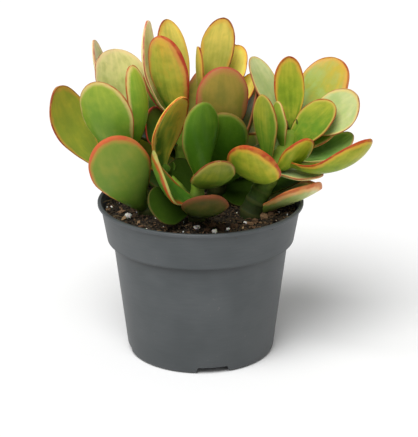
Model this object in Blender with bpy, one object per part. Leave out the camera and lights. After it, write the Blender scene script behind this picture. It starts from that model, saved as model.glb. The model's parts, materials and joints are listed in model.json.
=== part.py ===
"""A potted jade plant: five leafy shoots standing in the potting soil of a round nursery pot.

Metres, +Z up. The origin is the centre of the pot's foot, and -Y is the front.
Each shoot is one closed body, with its leaves grown into its stem.
"""

import math
from collections import namedtuple

import bmesh
import bpy
from mathutils import Vector, noise

MM = 0.001

# Pot
POT_HEIGHT = 92 * MM
RIM_RADIUS = 60 * MM
RIM_WIDTH = 2.1 * MM
RIM_DEPTH = 2.0 * MM
WALL = 1.2 * MM
COLLAR_TOP_RADIUS = 58.2 * MM
COLLAR_FOOT_RADIUS = 54.8 * MM
COLLAR_FOOT = 69 * MM
BODY_TOP_RADIUS = 51.3 * MM
FOOT_RADIUS = 43.6 * MM
FOOT_ROUNDING = 2.5 * MM
FOOT_RING_INNER = 39.2 * MM
PAD_RADIUS = 24.8 * MM
CHANNEL_HEIGHT = 4.4 * MM
FLOOR_TOP = CHANNEL_HEIGHT + WALL
SHOULDER = COLLAR_FOOT + WALL
INSIDE_BEVEL = 0.6 * MM
COLLAR_EDGE = 0.7 * MM
LIP_ROUNDING = 0.6 * MM
LIP_BEVEL = 0.5 * MM
DRAFT = 0.5 * MM
TURNS = 52
NOTCH_COUNT = 4
NOTCH_FOOT_WIDTH = 21 * MM
NOTCH_TOP_WIDTH = 17 * MM
NOTCH_HEIGHT = 4 * MM
NOTCH_INNER = 38 * MM
NOTCH_OUTER = 47 * MM
NOTCH_AZIMUTH = math.radians(-80.6)
DRAIN_COUNT = 8
DRAIN_RADIUS = 3.5 * MM
DRAIN_RING = 33 * MM
DRAIN_SIDES = 12
CUT_PAST = 1 * MM

# Soil
GAP = 0.35 * MM
SOIL_TOP = 86.6 * MM
SOIL_RELIEF = 1.1 * MM
SOIL_LUMP = 7 * MM
FINE_LUMP = 3 * MM
FINE_SHARE = 0.5
SOIL_SECTORS = 40
SOIL_RINGS = 7
RING_SPACING = 0.8

# Stems
STEM_SIDES = 8
STEM_STEPS = 3
TIP_CAP = 1.5 * MM
TIP_NARROWS = 0.6
LEVEL_ENOUGH = 0.3
STEM_FOOT = 89 * MM
ROOT_DEPTH = 29 * MM
HOLE_GAP = 0.45 * MM
HOLE_SIDES = 16

# Leaves
STALK_RISE = 30
STALK_WIDTH = 5.0 * MM
STALK_THICKNESS = 0.8
NECK = 0.26
WIDEST = 0.60
NECK_POWER = 1.3
TIP_POWER = 2.1
CUP = 0.10
LEAF_THICKNESS = 4.2 * MM
LEAF_THINNEST = 2.6 * MM
FULL_WIDTH = 26 * MM
BASE_FULLNESS = 0.86
TIP_TAPER = 0.55
MARGIN = 1.1 * MM
SLIGHTEST_BEND = 0.01
STATIONS = (0.0, 0.26, 0.55, 0.77, 0.91, 0.975)
BUD_STATIONS = (0.0, 0.40, 0.75, 0.93)
# Across a section: place on the half width, then height as a share of the thickness.
UPPER = ((-1, None), (-0.5, 0.22), (0.5, 0.22), (1, None))
LOWER = ((1, None), (0.5, -0.68), (-0.5, -0.68), (-1, None))

Leaf = namedtuple("Leaf", "stem height stalk azimuth rise length width roll bend cup", defaults=(CUP,))
Stem = namedtuple("Stem", "foot_radius tip_radius points")

# Stem routes in millimetres, from the soil up. One that starts above STEM_FOOT is a side twig.
STEMS = {
    "left": Stem(5.2, 3.6, ((-31, -10, 89), (-34, -9, 98), (-39, -8, 112), (-41, -3, 126), (-41, 5, 142))),
    "left_side": Stem(3.2, 2.6, ((-38, -8, 106), (-45, -7, 109), (-52, -5, 111))),
    "left_back": Stem(3.4, 2.6, ((-40, -4, 120), (-46, 10, 128), (-50, 22, 134))),
    "back_left": Stem(5.4, 3.4, ((-8, 12, 89), (-9, 12, 105), (-11, 11, 125), (-11, 13, 148))),
    "back_right": Stem(5.4, 3.4, ((9, 10, 89), (10, 8, 105), (9, 9, 125), (7, 13, 150))),
    "centre": Stem(4.8, 3.4, ((-2, -22, 89), (-2, -22, 100), (0, -18, 118))),
    "centre_left": Stem(3.0, 2.6, ((-5, -20, 98), (-12, -17, 104), (-18, -13, 110))),
    "right": Stem(6.4, 4.2, ((29, -15, 89), (33, -14, 98), (41, -11, 113), (49, -4, 124), (52, 2, 131))),
}

# Each leaf: its stem, the height on it and the stalk in mm, then azimuth and rise in degrees
# (azimuth 0 is +X, 90 is +Y), length and width in mm, roll about its length and upward bend in degrees.
# A leaf that is more or less hollow across than CUP ends with its own share.
SHOOTS = {
    "shoot_left": (
        Leaf("left_side", 111, 6, 176, 62, 52, 34, -26, 42),
        Leaf("left", 115, 7, -134, 70, 54, 33, 19, 23),
        Leaf("left", 89, 9, -120, 56, 59, 34, 45, 19),
        Leaf("left", 121, 2, -46, 89, 52, 18, 8, 50),
        Leaf("left", 137, 2, 115, 63, 43, 36, 14, -5),
        Leaf("left_back", 134, 2, 165, 77, 47, 22, 7, 5),
        Leaf("left_back", 131, 6, 52, 28, 49, 29, 3, 24),
        Leaf("left_side", 110, 7, 110, 20, 45, 28, 3, 28),
        Leaf("left_back", 133, 5, 87, 48, 37, 22, -3, 20),
        Leaf("left_back", 125, 7, 97, 25, 49, 29, 10, 25),
        Leaf("left", 98, 4, 122, 21, 44, 26, 3, 25),
    ),
    "shoot_back_left": (
        Leaf("back_left", 137, 12, -176, 81, 53, 21, -20, 36),
        Leaf("back_left", 134, 3, 109, 66, 60, 24, 26, -5),
        Leaf("back_left", 133, 3, -121, 72, 59, 25, 6, 6),
        Leaf("back_left", 133, 5, 147, 61, 36, 21, -10, 18),
        Leaf("back_left", 122, 7, -162, 44, 22, 31, -37, 44),
        Leaf("back_left", 94, 3, 82, 23, 45, 26, -3, 13),
        Leaf("back_left", 114, 4, 107, 22, 49, 27, 9, 13),
        Leaf("back_left", 101, 6, 140, 12, 48, 26, -11, 23),
        Leaf("back_left", 132, 5, 57, 32, 48, 26, 11, 11),
        Leaf("back_left", 110, 5, 159, 39, 28, 16, 0, 6),
        Leaf("back_left", 111, 8, 131, 6, 48, 14, 15, 1),
        Leaf("back_left", 96.5, 7, -141, 10, 21, 24, -22, 35),
    ),
    "shoot_back_right": (
        Leaf("back_right", 149, 2, 71, 68, 46, 26, -23, -10),
        Leaf("back_right", 137, 5, 176, 83, 41, 17, 15, 13),
        Leaf("back_right", 143, 4, 52, 55, 38, 19, 9, 21),
        Leaf("back_right", 120, 7, -67, 86, 48, 31, -13, 22),
        Leaf("back_right", 134, 7, 36, 45, 32, 15, 9, 25),
        Leaf("back_right", 128, 3, 32, -2, 44, 21, 8, 7),
        Leaf("back_right", 104, 4, -73, 69, 44, 27, -23, 12),
        Leaf("back_right", 110, 7, 92, 25, 50, 27, 0, 15),
        Leaf("back_right", 97, 4, 67, 24, 49, 25, 2, 25),
        Leaf("back_right", 101, 5, 21, 28, 49, 29, -5, 24),
        Leaf("back_right", 141, 5, 82, 42, 48, 24, -8, 19),
        Leaf("back_right", 98, 4, -62, 39, 41, 21, 2, 24),
        Leaf("back_right", 105, 6, 20, 68, 50, 24, -12, 17),
        Leaf("back_right", 92, 3, -13, 2, 21, 23, 28, 12),
    ),
    "shoot_centre": (
        Leaf("centre", 110, 2, -54, 87, 46, 25, 0, -4),
        Leaf("centre_left", 110, 6, 158, 107, 47, 30, -12, 36),
        Leaf("centre", 98, 4, -132, 48, 43, 33, -37, 60, 0.06),
        Leaf("centre", 94, 5, 128, 59, 27, 23, 2, 44),
        Leaf("centre", 108, 5, -76, 30, 54, 24, -1, 45),
        Leaf("centre", 91, 3, -80, 30, 49, 26, -6, 34),
        Leaf("centre", 92, 7, -136, 18, 32, 24, -52, 20),
    ),
    "shoot_right": (
        Leaf("right", 108, 1, -108, 39, 50, 30, -1, 53),
        Leaf("right", 115, 6, -137, 83, 42, 16, 12, 5),
        Leaf("right", 131, 3, 136, 54, 48, 21, 4, 3),
        Leaf("right", 123, 2, -136, 81, 30, 12, -4, 14),
        Leaf("right", 131, 1, 98, 78, 44, 18.5, 4, 18),
        Leaf("right", 131, 6, 50, 41, 51, 33, 6, 30),
        Leaf("right", 121, 4, 10, 47, 38, 24, 30, -8),
        Leaf("right", 129, 8, 0, 34, 38, 30, 35, 45),
        Leaf("right", 111, 5, -36, 47, 32, 18, -26, 28),
        Leaf("right", 113.5, 12, 17, 16, 40, 24, 8, 57),
        Leaf("right", 114.5, 12, -34, 23, 55, 30, -12, 75, 0.18),
        Leaf("right", 112, 2, -18, 1, 29, 20, 3, 11),
        Leaf("right", 89, 1, 18, 14, 44, 34, -14, 3, 0.45),
        Leaf("right", 120, 4, 28, 28, 43, 24, 12, 25),
        Leaf("right", 135, 7, 110, 30, 42, 24, 11, 17),
        Leaf("right", 96, 5, 60, 16, 52, 32, 7, 22),
        Leaf("right", 123, 7, 74, 24, 45, 24, -6, 20),
    ),
}
# The azimuth of each stem's closing pair of young leaves.
BUDS = {
    "left": 30,
    "left_side": 80,
    "left_back": 90,
    "back_left": 20,
    "back_right": 150,
    "centre": 60,
    "centre_left": 60,
    "right": 20,
}
BUD_LENGTH = 9
BUD_WIDTH = 6
BUD_RISE = 70
BUD_BEND = 30
BUD_STALK = 0.5

POT_COLOUR = (0.108, 0.119, 0.122)
SOIL_COLOUR = (0.032, 0.019, 0.013)
SHOOT_COLOURS = {
    "shoot_left": (0.26, 0.38, 0.06),
    "shoot_back_left": (0.38, 0.36, 0.06),
    "shoot_back_right": (0.36, 0.34, 0.07),
    "shoot_centre": (0.10, 0.19, 0.03),
    "shoot_right": (0.32, 0.42, 0.09),
}


def clear_scene():
    for obj in list(bpy.data.objects):
        bpy.data.objects.remove(obj, do_unlink=True)


def material(name, colour, roughness):
    made = bpy.data.materials.new(name)
    made.use_nodes = True
    shader = made.node_tree.nodes["Principled BSDF"]
    shader.inputs["Base Color"].default_value = (*colour, 1)
    shader.inputs["Roughness"].default_value = roughness
    shader.inputs["Metallic"].default_value = 0
    made.diffuse_color = (*colour, 1)
    return made


def object_from(bm, name, finish=None):
    mesh = bpy.data.meshes.new(name)
    bmesh.ops.recalc_face_normals(bm, faces=bm.faces)
    bm.to_mesh(mesh)
    bm.free()
    obj = bpy.data.objects.new(name, mesh)
    bpy.context.scene.collection.objects.link(obj)
    if finish:
        mesh.materials.append(finish)
    return obj


def shade_round(obj, sharp_angle):
    obj.data.shade_smooth()
    obj.data.set_sharp_from_angle(angle=math.radians(sharp_angle))


def tube(rings):
    """A closed bmesh through rings of points, each ring with the same number of points."""
    bm = bmesh.new()
    rows = [[bm.verts.new(point) for point in ring] for ring in rings]
    for low, high in zip(rows, rows[1:]):
        for here in range(len(low)):
            after = (here + 1) % len(low)
            bm.faces.new((low[here], low[after], high[after]))
            bm.faces.new((low[here], high[after], high[here]))
    bm.faces.new(rows[0][::-1])
    bm.faces.new(rows[-1])
    return bm


def subtract(obj, cutter):
    cutter.hide_render = True
    cutter.display_type = "WIRE"
    cut = obj.modifiers.new(cutter.name, "BOOLEAN")
    cut.operation = "DIFFERENCE"
    cut.object = cutter


# Pot

def collar_radius(height):
    """Outer radius of the pot's collar at a height."""
    share = (height - COLLAR_FOOT) / (POT_HEIGHT - RIM_DEPTH - COLLAR_FOOT)
    return COLLAR_FOOT_RADIUS + (COLLAR_TOP_RADIUS - COLLAR_FOOT_RADIUS) * share


def body_radius(height):
    """Outer radius of the pot's tapered body at a height."""
    return FOOT_RADIUS + (BODY_TOP_RADIUS - FOOT_RADIUS) * height / COLLAR_FOOT


def arc(centre, radius, start, end, steps):
    """Points of an arc in the radius and height plane, with its angles in degrees."""
    for step in range(steps + 1):
        angle = math.radians(start + (end - start) * step / steps)
        yield centre[0] + radius * math.cos(angle), centre[1] + radius * math.sin(angle)


def inner_outline():
    """The inside of the pot from the middle of its floor up to the rim."""
    neck = BODY_TOP_RADIUS - WALL
    rim_inside = RIM_RADIUS - RIM_WIDTH
    return [
        (0, WALL),
        (PAD_RADIUS - WALL, WALL),
        (PAD_RADIUS - WALL / 2, FLOOR_TOP),
        (body_radius(FLOOR_TOP) - WALL - INSIDE_BEVEL, FLOOR_TOP),
        (body_radius(FLOOR_TOP + INSIDE_BEVEL) - WALL, FLOOR_TOP + INSIDE_BEVEL),
        (neck, SHOULDER - INSIDE_BEVEL),
        (neck + INSIDE_BEVEL, SHOULDER),
        (collar_radius(SHOULDER) - WALL - INSIDE_BEVEL, SHOULDER),
        (collar_radius(SHOULDER + INSIDE_BEVEL) - WALL, SHOULDER + INSIDE_BEVEL),
        (rim_inside - DRAFT, POT_HEIGHT - RIM_DEPTH),
        (rim_inside, POT_HEIGHT - LIP_BEVEL),
    ]


def outer_outline():
    """The outside of the pot from the rim down, then in along its underside."""
    under = POT_HEIGHT - RIM_DEPTH
    lip = RIM_RADIUS - LIP_ROUNDING
    outline = [(RIM_RADIUS - RIM_WIDTH + LIP_BEVEL, POT_HEIGHT)]
    outline += arc((lip, POT_HEIGHT - LIP_ROUNDING), LIP_ROUNDING, 90, 0, 2)
    outline += arc((lip, under + LIP_ROUNDING), LIP_ROUNDING, 0, -90, 2)
    outline.append((COLLAR_TOP_RADIUS, under - INSIDE_BEVEL / 2))
    outline += arc((COLLAR_FOOT_RADIUS - COLLAR_EDGE, COLLAR_FOOT + COLLAR_EDGE), COLLAR_EDGE, 0, -90, 2)
    outline.append((BODY_TOP_RADIUS + INSIDE_BEVEL, COLLAR_FOOT))
    outline.append((BODY_TOP_RADIUS, COLLAR_FOOT - INSIDE_BEVEL))
    outline += arc((FOOT_RADIUS - FOOT_ROUNDING, FOOT_ROUNDING), FOOT_ROUNDING, 0, -90, 3)
    outline += [
        (FOOT_RING_INNER, 0),
        (FOOT_RING_INNER, CHANNEL_HEIGHT),
        (PAD_RADIUS + WALL / 2, CHANNEL_HEIGHT),
        (PAD_RADIUS, 0),
        (0, 0),
    ]
    return outline


def notch_cutter():
    """Four blocks, wider at the foot, that open the foot ring to the channel under the floor."""
    bm = bmesh.new()
    for number in range(NOTCH_COUNT):
        azimuth = NOTCH_AZIMUTH + number * math.tau / NOTCH_COUNT
        away = Vector((math.cos(azimuth), math.sin(azimuth), 0))
        side = Vector((-away.y, away.x, 0)) / 2
        corners = []
        for height, width in ((-CUT_PAST, NOTCH_FOOT_WIDTH), (NOTCH_HEIGHT, NOTCH_TOP_WIDTH)):
            for reach, turn in ((NOTCH_INNER, -1), (NOTCH_OUTER, -1), (NOTCH_OUTER, 1), (NOTCH_INNER, 1)):
                corners.append(bm.verts.new(away * reach + side * turn * width + Vector((0, 0, height))))
        for face in ((3, 2, 1, 0), (4, 5, 6, 7), (0, 1, 5, 4), (1, 2, 6, 5), (2, 3, 7, 6), (3, 0, 4, 7)):
            bm.faces.new([corners[index] for index in face])
    return object_from(bm, "notch_cutter")


def drain_cutter():
    """A ring of round holes through the raised floor, each turned to miss the notches."""
    bm = bmesh.new()
    depth = WALL + 2 * CUT_PAST
    for number in range(DRAIN_COUNT):
        azimuth = NOTCH_AZIMUTH + (number + 0.5) * math.tau / DRAIN_COUNT
        centre = Vector((math.cos(azimuth), math.sin(azimuth), 0)) * DRAIN_RING
        centre.z = CHANNEL_HEIGHT + WALL / 2
        made = bmesh.ops.create_cone(bm, cap_ends=True, segments=DRAIN_SIDES, radius1=DRAIN_RADIUS,
                                     radius2=DRAIN_RADIUS, depth=depth)
        bmesh.ops.translate(bm, verts=made["verts"], vec=centre)
    return object_from(bm, "drain_cutter")


def make_pot():
    outline = inner_outline() + outer_outline()
    mesh = bpy.data.meshes.new("pot")
    mesh.from_pydata([(radius, 0, height) for radius, height in outline],
                     [(index, index + 1) for index in range(len(outline) - 1)], [])
    pot = bpy.data.objects.new("pot", mesh)
    bpy.context.scene.collection.objects.link(pot)
    mesh.materials.append(material("pot_plastic", POT_COLOUR, 0.45))
    turned = pot.modifiers.new("turned", "SCREW")
    turned.steps = turned.render_steps = TURNS
    turned.use_merge_vertices = True
    turned.merge_threshold = 0.00001
    turned.use_smooth_shade = True
    subtract(pot, notch_cutter())
    subtract(pot, drain_cutter())
    return pot


# Soil

def soil_height(x, y):
    """The uneven top of the soil."""
    lumps = noise.noise(Vector((x, y, 0)) / SOIL_LUMP)
    fine = noise.noise(Vector((y, x, 0)) / FINE_LUMP)
    return SOIL_TOP + SOIL_RELIEF * (lumps + FINE_SHARE * fine)


def inside_radius(height):
    """The soil's radius at a height in the collar."""
    return collar_radius(height) - WALL - GAP


def soil_outline():
    """The soil's underside and side, a gap inside the pot, from the middle out and up."""
    neck = BODY_TOP_RADIUS - WALL
    return [
        (PAD_RADIUS - WALL - GAP, WALL + GAP),
        (PAD_RADIUS - WALL / 2 - GAP, FLOOR_TOP + GAP),
        (body_radius(FLOOR_TOP) - WALL - INSIDE_BEVEL - GAP, FLOOR_TOP + GAP),
        (body_radius(FLOOR_TOP) - WALL - GAP, FLOOR_TOP + INSIDE_BEVEL + GAP),
        (neck - GAP, SHOULDER - INSIDE_BEVEL + GAP / 2),
        (neck + INSIDE_BEVEL - GAP / 2, SHOULDER + GAP),
        (inside_radius(SHOULDER) - INSIDE_BEVEL, SHOULDER + GAP),
        (inside_radius(SHOULDER + INSIDE_BEVEL), SHOULDER + INSIDE_BEVEL + GAP),
    ]


def level_ring(radius, height):
    """The points of one sector ring of the soil, all at one height."""
    for sector in range(SOIL_SECTORS):
        angle = sector * math.tau / SOIL_SECTORS
        yield Vector((radius * math.cos(angle), radius * math.sin(angle), height))


def make_soil():
    edge = inside_radius(SOIL_TOP - 2 * SOIL_RELIEF)
    rings = [list(level_ring(radius, height)) for radius, height in soil_outline()]
    for ring in range(SOIL_RINGS, 0, -1):
        surface = list(level_ring(edge * (ring / SOIL_RINGS) ** RING_SPACING, SOIL_TOP))
        for point in surface:
            point.z = soil_height(point.x, point.y)
        rings.append(surface)
    soil = object_from(tube(rings), "soil", material("soil_mix", SOIL_COLOUR, 0.95))
    for name, stem in STEMS.items():
        if stem.points[0][2] * MM <= STEM_FOOT:
            subtract(soil, stem_hole(name))
    shade_round(soil, 60)
    return soil


def stem_hole(name):
    """A plain round hole for the foot of a stem, to a gap below its end."""
    stem = STEMS[name]
    x, y, foot = Vector(stem.points[0]) * MM
    radius = (stem.foot_radius * MM + HOLE_GAP) / math.cos(math.pi / HOLE_SIDES)
    low = foot - ROOT_DEPTH - HOLE_GAP
    rings = [[], []]
    for side in range(HOLE_SIDES):
        angle = side * math.tau / HOLE_SIDES
        for ring, height in zip(rings, (low, POT_HEIGHT)):
            ring.append(Vector((x + radius * math.cos(angle), y + radius * math.sin(angle), height)))
    return object_from(tube(rings), f"{name}_hole")


# Stems

def smooth_route(name):
    """Points along a stem, on a smooth curve through its route, in metres."""
    points = [Vector(point) * MM for point in STEMS[name].points]
    ends = [points[0] * 2 - points[1], *points, points[-1] * 2 - points[-2]]
    route = []
    for before, start, end, after in zip(ends, ends[1:], ends[2:], ends[3:]):
        for step in range(STEM_STEPS):
            t = step / STEM_STEPS
            route.append(0.5 * (2 * start + (end - before) * t
                                + (2 * before - 5 * start + 4 * end - after) * t ** 2
                                + (3 * start - before - 3 * end + after) * t ** 3))
    route.append(points[-1])
    return route


def on_stem(name, height):
    """The point of a stem's axis at a height."""
    route = smooth_route(name)
    for low, high in zip(route, route[1:]):
        if height <= high.z:
            return low.lerp(high, max(0, (height - low.z) / (high.z - low.z)))
    return route[-1]


def stem_ring(centre, direction, radius):
    """A ring square to a direction, whose first point always lies towards +X."""
    side = Vector((1, 0, 0)) - direction * direction.x
    if side.length < LEVEL_ENOUGH:
        side = Vector((0, 1, 0)) - direction * direction.y
    side.normalize()
    other = direction.cross(side)
    ring = []
    for step in range(STEM_SIDES):
        angle = step * math.tau / STEM_SIDES
        ring.append(centre + (side * math.cos(angle) + other * math.sin(angle)) * radius)
    return ring


def stem_object(name):
    stem = STEMS[name]
    route = smooth_route(name)
    last = len(route) - 1
    rings = []
    if stem.points[0][2] * MM <= STEM_FOOT:
        upright = Vector((0, 0, 1))
        for depth in (ROOT_DEPTH, 0):
            rings.append(stem_ring(route[0] - upright * depth, upright, stem.foot_radius * MM))
    for index, point in enumerate(route[1:], 1):
        ahead = (route[min(index + 1, last)] - route[index - 1]).normalized()
        radius = stem.foot_radius + (stem.tip_radius - stem.foot_radius) * index / last
        rings.append(stem_ring(point, ahead, radius * MM))
    rings.append(stem_ring(route[-1] + ahead * TIP_CAP, ahead, TIP_NARROWS * stem.tip_radius * MM))
    return object_from(tube(rings), name)


# Leaves

def leaf_axes(azimuth, rise, roll):
    """The leaf's length, width and upward directions."""
    a, e, r = (math.radians(value) for value in (azimuth, rise, roll))
    along = Vector((math.cos(e) * math.cos(a), math.cos(e) * math.sin(a), math.sin(e)))
    upward = Vector((-math.sin(e) * math.cos(a), -math.sin(e) * math.sin(a), math.cos(e)))
    across = Vector((-math.sin(a), math.cos(a), 0))
    return along, across * math.cos(r) + upward * math.sin(r), upward * math.cos(r) - across * math.sin(r)


def leaf_width(t):
    """The obovate outline: the half width at a place along the leaf, as a share of the widest."""
    if t < WIDEST:
        return NECK + (1 - NECK) * math.sin(math.pi / 2 * t / WIDEST) ** NECK_POWER
    return math.sqrt(1 - ((t - WIDEST) / (1 - WIDEST)) ** TIP_POWER)


def leaf_fullness(t):
    """How thick the leaf is along its length, as a share of the thickest."""
    taper = 1 - TIP_TAPER * max(0, 2 * t - 1) ** 2
    return (BASE_FULLNESS + (1 - BASE_FULLNESS) * math.sin(math.pi * t)) * taper


def section(centre, across, upward, half_width, thickness, cup):
    """One closed ring of points across the leaf, flatter above than below."""
    ring = []
    for side, places in ((1, UPPER), (-1, LOWER)):
        for place, share in places:
            lift = side * MARGIN / 2 if share is None else share * thickness
            lift += cup * half_width * place ** 2
            ring.append(centre + across * half_width * place + upward * lift)
    return ring


def leaf_object(leaf, name, stations=STATIONS):
    root = on_stem(leaf.stem, leaf.height * MM)
    outward = leaf_axes(leaf.azimuth, STALK_RISE, 0)[0]
    base = root + outward * leaf.stalk * MM
    along, across, upward = leaf_axes(leaf.azimuth, leaf.rise, leaf.roll)
    bend = math.radians(leaf.bend or SLIGHTEST_BEND)
    length = leaf.length * MM
    half_width = leaf.width * MM / 2
    radius = length / (2 * math.sin(bend / 2))
    thickness = max(LEAF_THINNEST, LEAF_THICKNESS * min(1, leaf.width * MM / FULL_WIDTH))
    stalk_thickness = STALK_THICKNESS * thickness
    rings = [section(root, across, outward.cross(across), STALK_WIDTH / 2, stalk_thickness, leaf.cup)]
    for t in stations:
        turn = bend * (t - 0.5)
        forward = radius * (math.sin(turn) + math.sin(bend / 2))
        lift = radius * (math.cos(bend / 2) - math.cos(turn))
        normal = upward * math.cos(turn) - along * math.sin(turn)
        centre = base + along * forward + upward * lift
        width, fullness = half_width * leaf_width(t), thickness * leaf_fullness(t)
        rings.append(section(centre, across, normal, width, fullness, leaf.cup))
    bm = tube(rings)
    bm.faces.ensure_lookup_table()
    bmesh.ops.poke(bm, faces=[bm.faces[-1]])
    bm.verts.ensure_lookup_table()
    bm.verts[-1].co = base + along * length
    return object_from(bm, name)


def bud_leaves(name):
    """The pair of young leaves that closes a stem's tip."""
    height = STEMS[name].points[-1][2]
    for azimuth in (BUDS[name], BUDS[name] + 180):
        yield Leaf(name, height, BUD_STALK, azimuth, BUD_RISE, BUD_LENGTH, BUD_WIDTH, 0, BUD_BEND)


# Shoots

def keep_tallest_shell(obj):
    """Drops scraps and fills sealed hollows, by keeping only the shell that reaches furthest in height."""
    bm = bmesh.new()
    bm.from_mesh(obj.data)
    left = set(bm.verts)
    shells = []
    while left:
        shell = []
        edge = [left.pop()]
        while edge:
            vert = edge.pop()
            shell.append(vert)
            near = {other for link in vert.link_edges for other in link.verts} & left
            left -= near
            edge += near
        shells.append(shell)
    shells.sort(key=lambda shell: max(vert.co.z for vert in shell) - min(vert.co.z for vert in shell))
    scrap = [vert for shell in shells[:-1] for vert in shell]
    bmesh.ops.delete(bm, geom=scrap, context="VERTS")
    bm.to_mesh(obj.data)
    bm.free()


def stems_of(leaves):
    """The shoot's main stem first, then its twigs."""
    names = list(dict.fromkeys(leaf.stem for leaf in leaves))
    return sorted(names, key=lambda name: STEMS[name].points[0][2])


def make_shoot(name, leaves, finish):
    stems = stems_of(leaves)
    shoot = stem_object(stems[0])
    shoot.name = name
    shoot.data.name = name
    shoot.data.materials.append(finish)
    growth = bpy.data.collections.new(f"{name}_growth")
    bpy.context.scene.collection.children.link(growth)
    pieces = [stem_object(stem) for stem in stems[1:]]
    pieces += [leaf_object(leaf, f"{name}_leaf_{number}") for number, leaf in enumerate(leaves)]
    pieces += [leaf_object(bud, f"{stem}_bud", BUD_STATIONS) for stem in stems for bud in bud_leaves(stem)]
    for piece in pieces:
        bpy.context.scene.collection.objects.unlink(piece)
        growth.objects.link(piece)
    union = shoot.modifiers.new("grown_together", "BOOLEAN")
    union.operation = "UNION"
    union.operand_type = "COLLECTION"
    union.collection = growth
    bpy.context.view_layer.update()
    graph = bpy.context.evaluated_depsgraph_get()
    joined = bpy.data.meshes.new_from_object(shoot.evaluated_get(graph))
    shoot.modifiers.clear()
    shoot.data = joined
    joined.name = name
    for piece in pieces:
        bpy.data.objects.remove(piece, do_unlink=True)
    bpy.data.collections.remove(growth)
    keep_tallest_shell(shoot)
    shade_round(shoot, 50)
    return shoot


clear_scene()
make_pot()
make_soil()
for shoot_name, shoot_leaves in SHOOTS.items():
    make_shoot(shoot_name, shoot_leaves, material(f"{shoot_name}_skin", SHOOT_COLOURS[shoot_name], 0.4))
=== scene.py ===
"""The looks of a potted jade plant: leaf skin, stems, crumbly soil with perlite, and the moulded pot.

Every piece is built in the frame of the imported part, in metres. It stands for one of its nodes, or is
a loose bit of the soil. Tables of stems and leaves are in millimetres and degrees.
"""

import json
import math
import random
from collections import namedtuple

import bmesh
import bpy
import numpy as np
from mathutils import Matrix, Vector, noise

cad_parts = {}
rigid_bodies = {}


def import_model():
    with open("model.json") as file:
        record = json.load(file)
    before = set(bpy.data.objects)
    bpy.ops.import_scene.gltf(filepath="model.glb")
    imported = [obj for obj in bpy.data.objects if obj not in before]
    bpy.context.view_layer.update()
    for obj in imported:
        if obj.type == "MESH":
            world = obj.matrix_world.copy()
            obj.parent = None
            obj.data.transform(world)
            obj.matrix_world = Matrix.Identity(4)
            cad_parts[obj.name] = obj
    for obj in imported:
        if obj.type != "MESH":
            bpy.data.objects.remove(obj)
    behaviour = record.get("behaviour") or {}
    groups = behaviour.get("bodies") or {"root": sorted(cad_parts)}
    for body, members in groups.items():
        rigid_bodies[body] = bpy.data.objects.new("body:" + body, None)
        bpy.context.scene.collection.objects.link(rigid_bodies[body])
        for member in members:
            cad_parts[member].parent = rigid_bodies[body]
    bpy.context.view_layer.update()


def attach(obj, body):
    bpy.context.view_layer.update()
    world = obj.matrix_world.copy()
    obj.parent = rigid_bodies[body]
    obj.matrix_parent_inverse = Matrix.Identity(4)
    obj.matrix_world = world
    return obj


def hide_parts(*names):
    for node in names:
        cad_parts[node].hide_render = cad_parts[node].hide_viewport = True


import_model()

MM = 0.001

# Pot
POT_HEIGHT = 92 * MM
RIM_RADIUS = 60 * MM
RIM_WIDTH = 2.1 * MM
RIM_DEPTH = 2.0 * MM
WALL = 1.2 * MM
COLLAR_TOP_RADIUS = 58.2 * MM
COLLAR_FOOT_RADIUS = 54.8 * MM
COLLAR_FOOT = 69 * MM
BODY_TOP_RADIUS = 51.3 * MM
FOOT_RADIUS = 43.6 * MM
FOOT_ROUNDING = 2.5 * MM
FOOT_RING_INNER = 39.2 * MM
PAD_RADIUS = 24.8 * MM
CHANNEL_HEIGHT = 4.4 * MM
FLOOR_TOP = CHANNEL_HEIGHT + WALL
SHOULDER = COLLAR_FOOT + WALL
INSIDE_BEVEL = 0.6 * MM
COLLAR_EDGE = 0.7 * MM
LIP_ROUNDING = 0.6 * MM
LIP_BEVEL = 0.5 * MM
DRAFT = 0.5 * MM
POT_TURNS = 176
NOTCH_COUNT = 4
NOTCH_FOOT_WIDTH = 21 * MM
NOTCH_TOP_WIDTH = 17 * MM
NOTCH_HEIGHT = 4 * MM
NOTCH_INNER = 38 * MM
NOTCH_OUTER = 47 * MM
NOTCH_AZIMUTH = math.radians(-80.6)
DRAIN_COUNT = 8
DRAIN_RADIUS = 3.5 * MM
DRAIN_RING = 33 * MM
DRAIN_SIDES = 32
CUT_PAST = 1 * MM

# Soil
GAP = 0.35 * MM
SOIL_TOP = 86.6 * MM
SOIL_RELIEF = 1.1 * MM
SOIL_LUMP = 7 * MM
FINE_LUMP = 3 * MM
FINE_SHARE = 0.5
GRAIN_LUMP = 1.1 * MM
GRAIN_RELIEF = 0.35 * MM
SOIL_SECTORS = 132
SOIL_RINGS = 46
RING_SPACING = 0.8

# Stems
STEM_SIDES = 26
ROUTE_STEPS = 18
STEM_FOOT = 89 * MM
ROOT_DEPTH = 29 * MM
TIP_CAP = 1.5 * MM
SWELL_REACH = 1.1 * MM
SWELL_SHARE = 0.09
BARK_LUMP = 3 * MM
BARK_RELIEF = 0.045
SCAR_COUNT = 4
SCAR_SPACING = 6.5 * MM

# Leaves
STALK_RISE = 30
STALK_WIDTH = 5.0 * MM
STALK_THICKNESS = 0.8
NECK = 0.26
WIDEST = 0.60
NECK_POWER = 1.3
TIP_POWER = 2.1
CUP = 0.10
LEAF_THICKNESS = 4.2 * MM
LEAF_THINNEST = 2.6 * MM
FULL_WIDTH = 26 * MM
BASE_FULLNESS = 0.86
TIP_TAPER = 0.55
MARGIN = 1.1 * MM
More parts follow.
